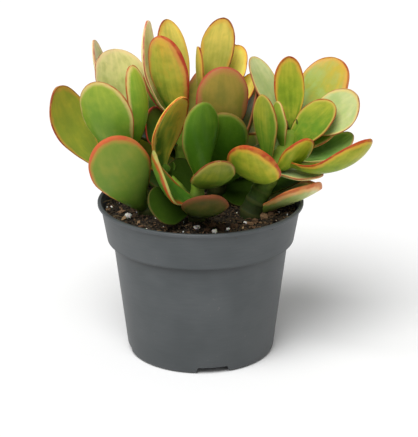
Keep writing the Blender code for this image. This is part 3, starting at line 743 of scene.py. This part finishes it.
def make_pot():
    finish = pot_plastic()
    turning_radius = FOOT_RADIUS
    outline = pot_outline()
    mesh = bpy.data.meshes.new("pot_outline")
    mesh.from_pydata([(radius - turning_radius, -height, 0) for radius, height in outline],
                     [(index, index + 1) for index in range(len(outline) - 1)], [])
    turned = turning_recipe(finish).run(new_object("pot_outline", mesh), Turns=POT_TURNS,
                                        Radius=turning_radius, Merge=0.01 * MM)
    bm = bmesh.new()
    bm.from_mesh(turned)
    bmesh.ops.recalc_face_normals(bm, faces=bm.faces)
    bm.to_mesh(turned)
    bm.free()
    pot = new_object("turned_pot", turned)
    cutters = []
    for name, bm in (("notches", notch_blocks()), ("drain_holes", drain_rods())):
        bmesh.ops.recalc_face_normals(bm, faces=bm.faces)
        cutter = new_object(name, plain_mesh(name, bm))
        cut = pot.modifiers.new(name, "BOOLEAN")
        cut.operation = "DIFFERENCE"
        cut.object = cutter
        cutters.append(cutter)
    shell = piece("pot_shell", settled(pot), finish, sharp_angle=40)
    for cutter in cutters:
        bpy.data.objects.remove(cutter, do_unlink=True)
    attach(shell, "root")
    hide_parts("pot")


# Soil

def soil_height(x, y):
    """The uneven top of the soil."""
    lumps = noise.noise(Vector((x, y, 0)) / SOIL_LUMP)
    fine = noise.noise(Vector((y, x, 0)) / FINE_LUMP)
    return SOIL_TOP + SOIL_RELIEF * (lumps + FINE_SHARE * fine)


def grainy_height(x, y):
    """The soil's top with its fine grain."""
    return soil_height(x, y) + GRAIN_RELIEF * noise.noise(Vector((x, y, 1)) / GRAIN_LUMP)


def inside_radius(height):
    """The soil's radius at a height in the collar."""
    return collar_radius(height) - WALL - GAP


def soil_outline():
    """The soil's underside and side, a gap inside the pot, from the middle out and up."""
    neck = BODY_TOP_RADIUS - WALL
    return [
        (PAD_RADIUS - WALL - GAP, WALL + GAP),
        (PAD_RADIUS - WALL / 2 - GAP, FLOOR_TOP + GAP),
        (body_radius(FLOOR_TOP) - WALL - INSIDE_BEVEL - GAP, FLOOR_TOP + GAP),
        (body_radius(FLOOR_TOP) - WALL - GAP, FLOOR_TOP + INSIDE_BEVEL + GAP),
        (neck - GAP, SHOULDER - INSIDE_BEVEL + GAP / 2),
        (neck + INSIDE_BEVEL - GAP / 2, SHOULDER + GAP),
        (inside_radius(SHOULDER) - INSIDE_BEVEL, SHOULDER + GAP),
        (inside_radius(SHOULDER + INSIDE_BEVEL), SHOULDER + INSIDE_BEVEL + GAP),
    ]


def level_ring(radius, height=None):
    """Points round the soil, at one height or on its top."""
    ring = []
    for sector in range(SOIL_SECTORS):
        angle = sector * math.tau / SOIL_SECTORS
        x, y = radius * math.cos(angle), radius * math.sin(angle)
        ring.append((x, y, grainy_height(x, y) if height is None else height))
    return ring


def soil_top_rings():
    edge = inside_radius(SOIL_TOP - 2 * SOIL_RELIEF)
    return [level_ring(edge * (ring / SOIL_RINGS) ** RING_SPACING) for ring in range(SOIL_RINGS, 0, -1)]


def make_soil():
    top = soil_top_rings()
    rings = [level_ring(radius, height) for radius, height in soil_outline()]
    shell = Shell()
    shell.add(np.array(rings + top), (0, 0, WALL + GAP), (0, 0, grainy_height(0, 0)))
    bed = piece("soil_bed", shell.mesh("soil_bed"), soil_finish())
    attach(bed, "root")
    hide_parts("soil")
    scatter_soil(top)


def soil_ground(top):
    """An open sheet of the soil's top, for loose bits to lie on."""
    bm = bmesh.new()
    rows = [[bm.verts.new(point) for point in ring] for ring in top[1:]]
    for low, high in zip(rows, rows[1:]):
        for here in range(SOIL_SECTORS):
            after = (here + 1) % SOIL_SECTORS
            bm.faces.new((low[here], low[after], high[after], high[here]))
    return new_object("soil_ground", plain_mesh("soil_ground", bm))


def rough_stone(draw, points, stretch):
    """A convex bit with about twenty faces, up to one unit across."""
    bm = bmesh.new()
    for _ in range(points):
        away = Vector([draw.gauss(0, 1) for _ in range(3)]).normalized() * draw.uniform(0.36, 0.5)
        bm.verts.new(Vector([value * scale for value, scale in zip(away, stretch)]))
    bmesh.ops.convex_hull(bm, input=bm.verts)
    bmesh.ops.recalc_face_normals(bm, faces=bm.faces)
    return bm


def bent_fibre(draw, sides=4, steps=6):
    """A thin root or straw fibre, one unit long, that bends a little."""
    shell = Shell()
    bow, twist = draw.uniform(-0.25, 0.25), draw.uniform(-0.1, 0.1)
    spine = []
    for step in range(steps + 1):
        t = step / steps
        spine.append(Vector((t - 0.5, bow * math.sin(math.pi * t), twist * math.sin(math.tau * t) + 0.02)))
    rings = []
    for step, centre in enumerate(spine):
        thick = 0.022 * (1.1 - 0.8 * abs(step / steps - 0.4))
        rings.append([centre + Vector((0, math.cos(a), math.sin(a))) * thick
                      for a in (math.tau * side / sides for side in range(sides))])
    shell.add(np.array(rings), spine[0], spine[-1])
    return shell.mesh("fibre")


def scatter_recipe(name, finish):
    """Strews the shapes of a collection over a sheet, each turned, sized, sunk and tinted by chance."""
    recipe = Recipe(name, Shapes="Collection", Spacing="Float", Density="Float", Smallest="Float",
                    Largest="Float", Tilt="Float", Sink="Float", Rise="Float", Seed="Int")
    given = recipe.given
    points = recipe.node("GeometryNodeDistributePointsOnFaces", {"distribute_method": "POISSON"},
                         {"Mesh": given["Geometry"], "Distance Min": given["Spacing"],
                          "Density Max": given["Density"], "Seed": given["Seed"]})

    def drawn(low, high, seed=given["Seed"]):
        """A number drawn for each bit."""
        return recipe.node("FunctionNodeRandomValue", {"data_type": "FLOAT"},
                           {2: low, 3: high, "Seed": seed}, 1)

    level = drawn(given["Sink"], given["Rise"])
    lift = recipe.node("ShaderNodeCombineXYZ", {}, {"Z": level})
    placed = recipe.node("GeometryNodeSetPosition", {}, {"Geometry": points, "Offset": lift})
    shapes = recipe.node("GeometryNodeCollectionInfo", {},
                         {"Collection": given["Shapes"], "Separate Children": True, "Reset Children": True})
    back = recipe.node("ShaderNodeMath", {"operation": "MULTIPLY"}, {0: given["Tilt"], 1: -1.0})
    low = recipe.node("ShaderNodeCombineXYZ", {}, {"X": back, "Y": back, "Z": 0.0})
    high = recipe.node("ShaderNodeCombineXYZ", {}, {"X": given["Tilt"], "Y": given["Tilt"], "Z": math.tau})
    turn = recipe.node("FunctionNodeRandomValue", {"data_type": "FLOAT_VECTOR"},
                       {0: low, 1: high, "Seed": given["Seed"]})
    size = drawn(given["Smallest"], given["Largest"])
    strewn = recipe.node("GeometryNodeInstanceOnPoints", {},
                         {"Points": placed, "Instance": shapes, "Pick Instance": True, "Rotation": turn,
                          "Scale": size})
    tint = drawn(0.0, 1.0, 5)
    tinted = recipe.node("GeometryNodeStoreNamedAttribute", {"data_type": "FLOAT", "domain": "INSTANCE"},
                         {"Geometry": strewn, "Name": "tint", "Value": tint})
    recipe.finish(tinted, finish)
    return recipe


def scatter(name, top, meshes, finish, slot, sharp_angle=None, **sizes):
    """Strews meshes over the soil's top as one piece."""
    shapes = bpy.data.collections.new(f"{name}_shapes")
    bpy.context.scene.collection.children.link(shapes)
    for number, mesh in enumerate(meshes):
        shapes.objects.link(bpy.data.objects.new(f"{name}_shape_{number}", mesh))
    strewn = scatter_recipe(name, finish).run(soil_ground(top), Shapes=shapes, **sizes)
    for shape in list(shapes.objects):
        bpy.data.objects.remove(shape, do_unlink=True)
    bpy.data.collections.remove(shapes)
    bits = piece(name, strewn, finish, sharp_angle)
    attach(bits, "root")


def stone_meshes(name, count, points, stretch, seed):
    draw = random.Random(seed)
    for number in range(count):
        yield plain_mesh(f"{name}_{number}", rough_stone(draw, points, stretch))


def placed_lumps(name, places, finish, relief, fine_relief, sink, seed):
    """Larger bits of soil at given places, as one piece: balls roughened by noise."""
    draw = random.Random(seed)
    whole = bmesh.new()
    tint = whole.verts.layers.float.new("tint")
    for x, y, size in places:
        made = bmesh.ops.create_icosphere(whole, subdivisions=4, radius=1)["verts"]
        shift = Vector([draw.uniform(-50, 50) for _ in range(3)])
        stretch = Vector((draw.uniform(0.85, 1.2), draw.uniform(0.8, 1.05), draw.uniform(0.62, 0.85)))
        turn = draw.uniform(0, math.tau)
        shade = draw.random()
        centre = Vector((x * MM, y * MM, soil_height(x * MM, y * MM) + size * MM * sink))
        for vert in made:
            away = vert.co.normalized()
            reach = 1 + relief * noise.noise(away * 1.3 + shift)
            reach += fine_relief * noise.noise(away * 5 + shift)
            point = Vector([value * scale for value, scale in zip(away * reach, stretch)]) * size * MM / 2
            vert.co = centre + Vector((point.x * math.cos(turn) - point.y * math.sin(turn),
                                       point.x * math.sin(turn) + point.y * math.cos(turn), point.z))
            vert[tint] = shade
    lumps = piece(name, plain_mesh(name, whole), finish)
    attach(lumps, "root")


def scatter_soil(top):
    peat = crumb_finish("peat_crumb", (0.0, srgb("#120f0a")), (0.35, srgb("#292219")),
                        (0.6, srgb("#463a28")), (0.85, srgb("#5a4530")), (1.0, srgb("#8a7050")))
    bark = crumb_finish("bark_chip", (0.0, srgb("#281c12")), (0.4, srgb("#543c28")), (0.75, srgb("#7e6044")),
                        (1.0, srgb("#a88a66")))
    straw = crumb_finish("straw_fibre", (0.0, srgb("#281c13")), (0.6, srgb("#56442c")),
                         (1.0, srgb("#947c58")))
    white = perlite_finish()
    scatter("peat_crumbs", top, list(stone_meshes("peat", 6, 14, (1, 0.85, 0.7), 1)), peat, "soil_mix",
            Spacing=1.15 * MM, Density=900000.0, Smallest=1.0 * MM, Largest=2.5 * MM, Tilt=math.pi,
            Sink=-0.4 * MM, Rise=0.6 * MM, Seed=3)
    scatter("bark_chips", top, list(stone_meshes("bark", 4, 12, (1, 0.5, 0.22), 2)), bark, "soil_mix",
            sharp_angle=35, Spacing=5.5 * MM, Density=60000.0, Smallest=2.4 * MM, Largest=6.5 * MM, Tilt=0.5,
            Sink=0.3 * MM, Rise=1.2 * MM, Seed=8)
    draw = random.Random(4)
    scatter("straw_fibres", top, [bent_fibre(draw) for _ in range(6)], straw, "soil_mix",
            Spacing=8.5 * MM, Density=60000.0, Smallest=4 * MM, Largest=10 * MM, Tilt=0.22,
            Sink=0.6 * MM, Rise=1.6 * MM, Seed=12)
    scatter("perlite_specks", top, list(stone_meshes("speck", 4, 16, (1, 0.9, 0.8), 5)), white, "soil_mix",
            Spacing=9 * MM, Density=12000.0, Smallest=0.8 * MM, Largest=1.7 * MM, Tilt=math.pi,
            Sink=0.3 * MM, Rise=0.9 * MM, Seed=21)
    placed_lumps("perlite_grains", PERLITE, white, 0.30, 0.22, 0.30, 6)
    placed_lumps("bark_clods", CLODS, bark, 0.45, 0.30, 0.22, 7)


# Stems

def smooth_route(name):
    """Points along a stem, on a smooth curve through its route, in metres."""
    points = [Vector(point) * MM for point in STEMS[name].points]
    ends = [points[0] * 2 - points[1], *points, points[-1] * 2 - points[-2]]
    route = []
    for before, start, end, after in zip(ends, ends[1:], ends[2:], ends[3:]):
        for step in range(ROUTE_STEPS):
            t = step / ROUTE_STEPS
            route.append(0.5 * (2 * start + (end - before) * t
                                + (2 * before - 5 * start + 4 * end - after) * t ** 2
                                + (3 * start - before - 3 * end + after) * t ** 3))
    route.append(points[-1])
    return route


def on_stem(name, height):
    """The point of a stem's axis at a height."""
    route = smooth_route(name)
    for low, high in zip(route, route[1:]):
        if height <= high.z:
            return low.lerp(high, max(0, (height - low.z) / (high.z - low.z)))
    return route[-1]


def ring_swell(height, rings):
    """How much a stem swells at a height, where leaves sit or have fallen off."""
    return max([math.exp(-((height - ring) / SWELL_REACH) ** 2) for ring in rings], default=0)


def add_stem(shell, name, rings, seed):
    stem = STEMS[name]
    route = smooth_route(name)
    steps = [(route[0] + Vector((0, 0, -ROOT_DEPTH * share)), Vector((0, 0, 1)), stem.foot_radius)
             for share in (1, 0.75, 0.5, 0.35, 0.2, 0.1)]
    if stem.points[0][2] * MM > STEM_FOOT:
        steps = []
    last = len(route) - 1
    for index, point in enumerate(route):
        ahead = (route[min(index + 1, last)] - route[max(index - 1, 0)]).normalized()
        steps.append((point, ahead, stem.foot_radius + (stem.tip_radius - stem.foot_radius) * index / last))
    for share in (0.4, 0.75, 0.95):
        radius = stem.tip_radius * math.sqrt(1 - share ** 2)
        steps.append((route[-1] + ahead * TIP_CAP * share, ahead, radius))
    points, places = [], []
    low, high = route[0].z, route[-1].z
    for centre, ahead, radius in steps:
        side = Vector((0, 1, 0))
        if abs(ahead.x) < 0.9:
            side = (Vector((1, 0, 0)) - ahead * ahead.x).normalized()
        other = ahead.cross(side)
        swell = ring_swell(centre.z, rings)
        for number in range(STEM_SIDES):
            angle = number * math.tau / STEM_SIDES
            away = side * math.cos(angle) + other * math.sin(angle)
            rough = noise.noise((centre + away * radius * MM) / BARK_LUMP)
            points.append(centre + away * radius * MM * (1 + SWELL_SHARE * swell + BARK_RELIEF * rough))
            places.append(((centre.z - low) / (high - low), swell, seed))
    size = (len(steps), STEM_SIDES, 3)
    shell.add(np.array(points).reshape(size), steps[0][0], steps[-1][0] + ahead * TIP_CAP * 0.05,
              place=np.array(places).reshape(size))


# Leaves

def leaf_axes(azimuth, rise, roll):
    """The leaf's length, width and upward directions."""
    a, e, r = (math.radians(value) for value in (azimuth, rise, roll))
    along = np.array((math.cos(e) * math.cos(a), math.cos(e) * math.sin(a), math.sin(e)))
    upward = np.array((-math.sin(e) * math.cos(a), -math.sin(e) * math.sin(a), math.cos(e)))
    across = np.array((-math.sin(a), math.cos(a), 0))
    return along, across * math.cos(r) + upward * math.sin(r), upward * math.cos(r) - across * math.sin(r)


def leaf_width(t):
    """The obovate outline: the half width at places along the leaf, as a share of the widest."""
    rising = NECK + (1 - NECK) * np.sin(math.pi / 2 * np.clip(t / WIDEST, 0, 1)) ** NECK_POWER
    closing = np.sqrt(np.clip(1 - np.clip((t - WIDEST) / (1 - WIDEST), 0, 1) ** TIP_POWER, 0, 1))
    return np.where(t < WIDEST, rising, closing)


def leaf_fullness(t):
    """How thick the leaf is along its length, as a share of the thickest."""
    taper = 1 - TIP_TAPER * np.clip(2 * t - 1, 0, 1) ** 2
    return (BASE_FULLNESS + (1 - BASE_FULLNESS) * np.sin(math.pi * np.clip(t, 0, 1))) * taper


# Places across a leaf, from one margin (1) to the other (-1), and the angles round a margin.
ACROSS = np.array((1, 0.975, 0.93, 0.86, 0.76, 0.62, 0.44, 0.22, 0, -0.22, -0.44, -0.62, -0.76, -0.86, -0.93,
                   -0.975, -1))
ROUND = np.radians((60, 30, 0, -30, -60))


def ring_places():
    """For each point of a ring: place across, angle round the margin, and side (1 upper, -1 lower)."""
    upper = [(u, 90, 1) for u in ACROSS]
    far = [(-1, angle, math.sin(angle)) for angle in ROUND]
    lower = [(u, -90, -1) for u in ACROSS[::-1]]
    near = [(1, angle, math.sin(angle)) for angle in ROUND[::-1]]
    rows = [(u, math.radians(a) if abs(a) == 90 else a, side) for u, a, side in upper + far + lower + near]
    return np.array(rows).T


def outline_distance(x, y, length, half_width, waves):
    """How far points of a flat leaf lie inside its outline."""
    t = 1 - (1 - np.linspace(0, 1, 90)) ** 2
    half = half_width * leaf_width(t)
    edge = np.concatenate([np.stack([t * length, half * waves(t, 1)], 1),
                           np.stack([t * length, -half * waves(t, -1)], 1)[::-1]])
    start, step = edge[:-1], np.diff(edge, axis=0)
    points = np.stack([x.ravel(), y.ravel()], 1)[:, None]
    share = np.clip(((points - start) * step).sum(-1) / np.maximum((step ** 2).sum(-1), 1e-15), 0, 1)
    gap = points - start - share[..., None] * step
    return np.sqrt((gap ** 2).sum(-1)).min(1).reshape(x.shape)


def add_leaf(shell, leaf, seed, steps=LEAF_STEPS):
    """Adds one leaf: a closed skin, flatter above than below, with a rounded margin."""
    draw = random.Random(seed)
    root = np.array(on_stem(leaf.stem, leaf.height * MM))
    outward = leaf_axes(leaf.azimuth, STALK_RISE, 0)[0]
    base = root + outward * leaf.stalk * MM
    along, across, upward = leaf_axes(leaf.azimuth, leaf.rise, leaf.roll)
    bend = math.radians(leaf.bend or SLIGHTEST_BEND)
    length = leaf.length * MM - SHYNESS
    half_width = leaf.width * MM / 2 - SHYNESS / 2
    radius = length / (2 * math.sin(bend / 2))
    thickness = max(LEAF_THINNEST, LEAF_THICKNESS * min(1, leaf.width * MM / FULL_WIDTH))
    phases = [draw.uniform(0, math.tau) for _ in range(6)]

    def waves(t, side):
        """The outline's slow unevenness on one side."""
        pick = 0 if side > 0 else 1
        fade = np.clip(t / 0.25, 0, 1)
        slow = np.sin(math.tau * SLOW_WAVES * t + phases[pick]) * SLOW_SWAY
        return 1 + fade * (slow + np.sin(math.tau * QUICK_WAVES * t + phases[pick + 2]) * QUICK_SWAY)

    lower_steps = steps // 2
    body = np.linspace(0, WIDEST, lower_steps, endpoint=False)
    head = WIDEST + (1 - WIDEST) * np.sin(math.pi / 2 * np.arange(steps - 1) / (steps - 1))
    t = np.concatenate([body, head])
    turn = bend * (t - 0.5)
    centre = (base + along * (radius * (np.sin(turn) + math.sin(bend / 2)))[:, None]
              + upward * (radius * (math.cos(bend / 2) - np.cos(turn)))[:, None])
    normal = upward * np.cos(turn)[:, None] - along * np.sin(turn)[:, None]
    half = half_width * leaf_width(t)
    full = thickness * leaf_fullness(t)

    stalk_share = np.array((0, 0.25, 0.5, 0.75))[:, None]
    stalk_up = np.cross(outward, across)
    centre = np.concatenate([root + (base - root) * stalk_share, centre])
    normal = np.concatenate([stalk_up + (normal[0] - stalk_up) * stalk_share, normal])
    half = np.concatenate([STALK_WIDTH / 2 + (half[0] - STALK_WIDTH / 2) * stalk_share[:, 0], half])
    full = np.concatenate([full[0] * (STALK_THICKNESS + (1 - STALK_THICKNESS) * stalk_share[:, 0]), full])
    t = np.concatenate([np.full(4, 0.0), t])
    for _ in range(4):
        for values in (centre, normal, half, full):
            values[1:9] = (values[0:8] + 2 * values[1:9] + values[2:10]) / 4
    normal /= np.linalg.norm(normal, axis=1)[:, None]

    u, angle, side = (value[None, :] for value in ring_places())
    t, half, full = t[:, None], half[:, None], full[:, None]
    wide = np.where(u > 0, waves(t, 1), waves(t, -1)) * half
    margin = np.minimum(MARGIN / 2, wide * 0.7)
    reach = u * (wide - margin)
    rounded = (np.abs(u) == 1) * np.cos(angle) * margin
    x = reach + np.sign(u) * rounded
    crown = (1 - u ** 2)
    close = np.clip(half / (5 * MM), 0, 1)
    upper = margin + (UPPER_SHARE * full - margin) * crown * close
    lower = margin + (LOWER_SHARE * full - margin) * crown ** 0.62 * close
    lift = np.where(np.abs(u) == 1, margin * np.sin(angle), np.where(side > 0, upper, -lower))
    crease = np.exp(-(u / CREASE_WIDTH) ** 2) * np.sin(math.pi * np.clip(t * 1.1, 0, 1)) * CREASE_DEPTH
    lift = lift - np.where(side > 0, crease, 0)
    ripple = np.sin(math.tau * RIPPLES * t + np.where(u > 0, phases[4], phases[5])) * np.abs(u) ** 3
    lift = lift + ripple * np.clip(t * 3, 0, 1) * RIPPLE_HEIGHT
    cup = leaf.cup * x ** 2 / np.maximum(half, 1e-6)
    rings = (centre[:, None] + across * x[..., None] + normal[:, None] * (lift + cup)[..., None])

    inside = outline_distance(t * length + 0 * x, x, length, half_width, waves)
    round_edge = MARGIN / 2 * np.abs(angle)
    flat_edge = MARGIN / 2 * (math.pi / 2 - 1) + np.maximum(inside, MARGIN / 2)
    edge = np.where(np.abs(u) == 1, round_edge, flat_edge)
    look = SKINS[leaf.skin]
    small = min(1, leaf.width / 20)
    crest = leaf.tip * np.clip((t - 0.45) / 0.5, 0, 1) * np.clip(1 + leaf.lean * u, 0, 2)
    flank = abs(leaf.lean) * 1.5 * np.clip(u * np.sign(leaf.lean), 0, 1) * np.clip(t / 0.4, 0, 1)
    grow = 1 + crest + flank
    fade = np.clip(t / 0.42, 0.3, 1)
    line = edge / (look.line_width * MM * small * grow * fade)
    band = edge / ((look.line_width * grow + look.band_width * (0.6 + 0.4 * grow)) * MM * small * fade)
    ripeness = t + 0.6 * leaf.lean * u
    place = np.stack(np.broadcast_arrays(ripeness, u, look.gloss), -1)
    rim = np.stack(np.broadcast_arrays(line, band, draw.random()), -1)
    hues = {name: (*[leaf.tone * share for share in srgb(getattr(look, name))], 1) for name in SKIN_COLOURS}
    shell.add(rings, root, base + along * length, place=place, rim=rim, **hues)


def young_leaves(name):
    """The pair of young leaves that closes a stem's tip."""
    height = STEMS[name].points[-1][2]
    for azimuth in (BUDS[name], BUDS[name] + 180):
        yield BUD._replace(stem=name, height=height, azimuth=azimuth)


def make_shoot(node, leaves, skin, bark):
    stems = list(dict.fromkeys(leaf.stem for leaf in leaves))
    wood = Shell()
    for number, name in enumerate(stems):
        rings = [leaf.height * MM for leaf in leaves if leaf.stem == name]
        rings += [STEMS[name].points[0][2] * MM + step * SCAR_SPACING for step in range(SCAR_COUNT)]
        add_stem(wood, name, rings, number * 0.37)
    foliage = Shell()
    for number, leaf in enumerate(leaves):
        add_leaf(foliage, leaf, f"{node}_{number}")
    for name in stems:
        for number, leaf in enumerate(young_leaves(name)):
            add_leaf(foliage, leaf, f"{name}_young_{number}", steps=BUD_STEPS)
    for suffix, shell, finish in (("stems", wood, bark), ("leaves", foliage, skin)):
        made = piece(f"{node}_{suffix}", shell.mesh(f"{node}_{suffix}"), finish)
        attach(made, "root")
        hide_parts(node)


# Stage

def make_floor():
    floor = Finish("floor", Roughness=0.9, Specular_IOR_Level=0.2)
    paper = floor.noise(0.5, 2)
    floor.feed(Base_Color=floor.mix(paper, (0.90, 0.90, 0.90), (0.93, 0.93, 0.93)))
    bm = bmesh.new()
    bmesh.ops.create_grid(bm, x_segments=1, y_segments=1, size=4)
    mesh = plain_mesh("floor", bm)
    piece("floor", mesh, floor.material)


def aim(obj, place, target):
    obj.location = place
    obj.rotation_euler = (Vector(target) - Vector(place)).to_track_quat("-Z", "Y").to_euler()


def make_studio():
    make_floor()
    light = bpy.data.lights.new("overhead_softbox", "SUN")
    light.angle = SUN_WIDTH
    light.energy = SUN_STRENGTH
    aim(new_object("overhead_softbox", light), SUN_PLACE, (0, 0, 0))
    world = bpy.data.worlds.new("studio_white")
    world.use_nodes = True
    sky = world.node_tree.nodes["Background"]
    sky.inputs["Color"].default_value = (1, 1, 1, 1)
    sky.inputs["Strength"].default_value = SKY_STRENGTH
    bpy.context.scene.world = world
    bpy.context.scene.view_settings.view_transform = "Standard"


def make_camera():
    """The photograph's view: 20 degrees above level, from 900 mm away."""
    aimed_at = Vector((4.9, 0, 79.8)) * MM
    distance = 900 * MM
    elevation = math.radians(20.0)
    lens = bpy.data.cameras.new("photo_view")
    lens.sensor_width = 36
    lens.lens = 126.6
    camera = new_object("photo_view", lens)
    place = aimed_at + Vector((0, -math.cos(elevation), math.sin(elevation))) * distance
    aim(camera, place, aimed_at)
    bpy.context.scene.camera = camera


make_camera()
make_pot()
make_soil()
waxy_skin = leaf_skin()
corky_bark = stem_bark()
for node_name, node_leaves in SHOOTS.items():
    make_shoot(node_name, node_leaves, waxy_skin, corky_bark)
make_studio()
